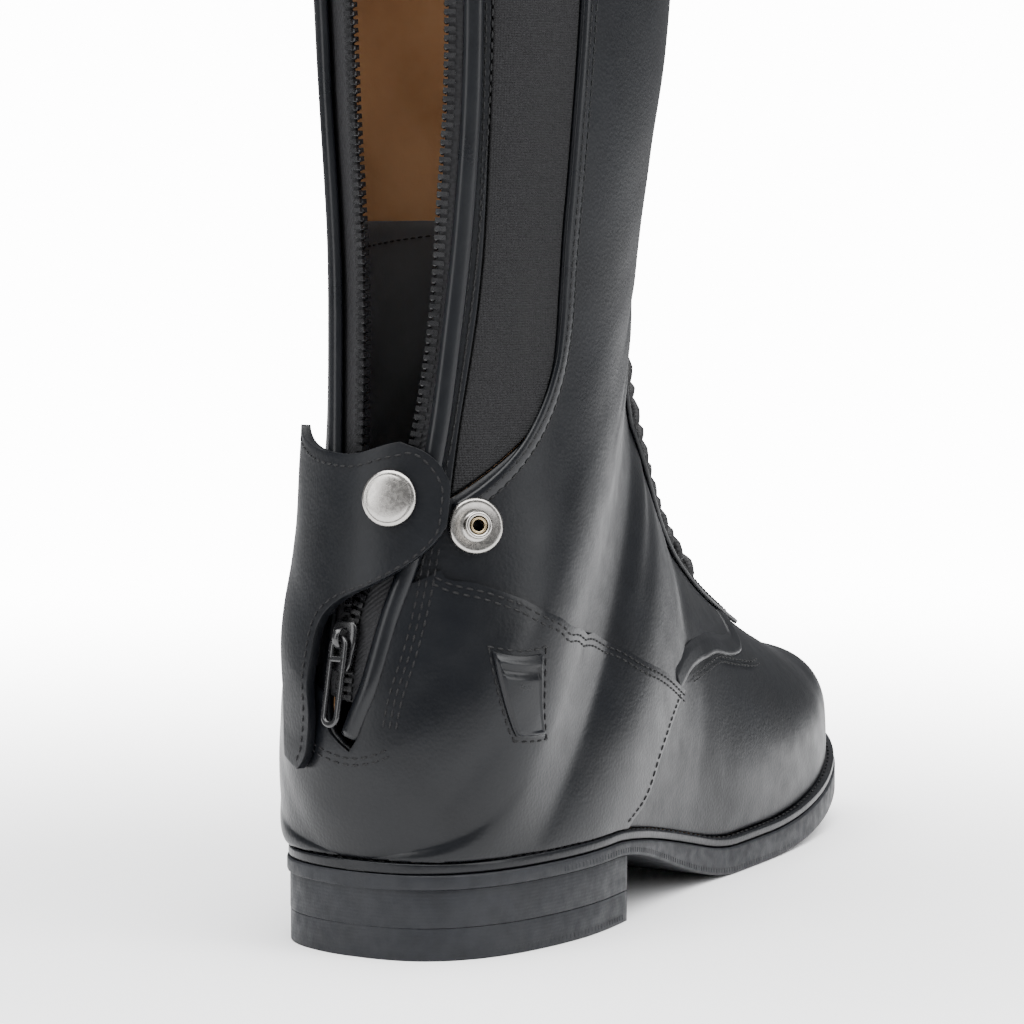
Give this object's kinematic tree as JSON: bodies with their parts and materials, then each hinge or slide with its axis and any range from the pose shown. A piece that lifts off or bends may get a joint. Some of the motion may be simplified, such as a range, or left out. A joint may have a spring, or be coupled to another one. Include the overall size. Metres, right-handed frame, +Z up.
{
  "type": "dress riding boot",
  "caption": "Tall dress riding boot with a laced throat, open back zip, elastic calf panel, snap flap, heel counter and stacked low heel.",
  "frame": {"origin": "centre of the heel's bottom face, on the floor", "axes": "+X to the toe, +Y to the medial side (the big toe's), +Z up along the shaft"},
  "size_m": [0.2884, 0.1168, 0.4757],
  "materials": {
    "leather": "black calf leather, satin, fine grain",
    "rubber": "dark grey rubber, matt",
    "elastic": "black ribbed elastic webbing",
    "lining": "tan leather lining, matt",
    "metal": "nickel plated, softly polished",
    "zip": "black moulded teeth on woven tape",
    "cord": "round waxed cord, black"
  },
  "bodies": {
    "boot": {"outsole": "rubber", "welt": "leather", "heel_block": "rubber", "heel_lift": "rubber", "insole": "lining", "upper": "leather", "counter": "leather", "lace_stay": "leather", "tongue": "leather", "elastic_panel": "elastic", "top_band": "leather", "roll_lateral": "leather", "roll_medial": "leather", "zip_lateral": "zip", "zip_medial": "zip", "zip_slider": "metal", "snap_flap": "leather", "snap_cap": "metal", "snap_stud": "metal", "plaque": "leather", "lace_bar": "cord", "lace_knot": "cord", "lace_cross_1": "cord", "lace_cross_2": "cord", "lace_cross_3": "cord", "lace_cross_4": "cord", "lace_cross_5": "cord", "lace_cross_6": "cord", "lace_cross_7": "cord"},
    "pull": {"zip_pull": "metal"}
  },
  "joints": [
    {"name": "pull_swing", "type": "hinge", "parent": "boot", "child": "pull", "pos_m": [-0.03823, 0.00443, 0.08233], "axis": [0.1302, 0.9913, -0.02], "range_deg": [0, 90]}
  ]
}
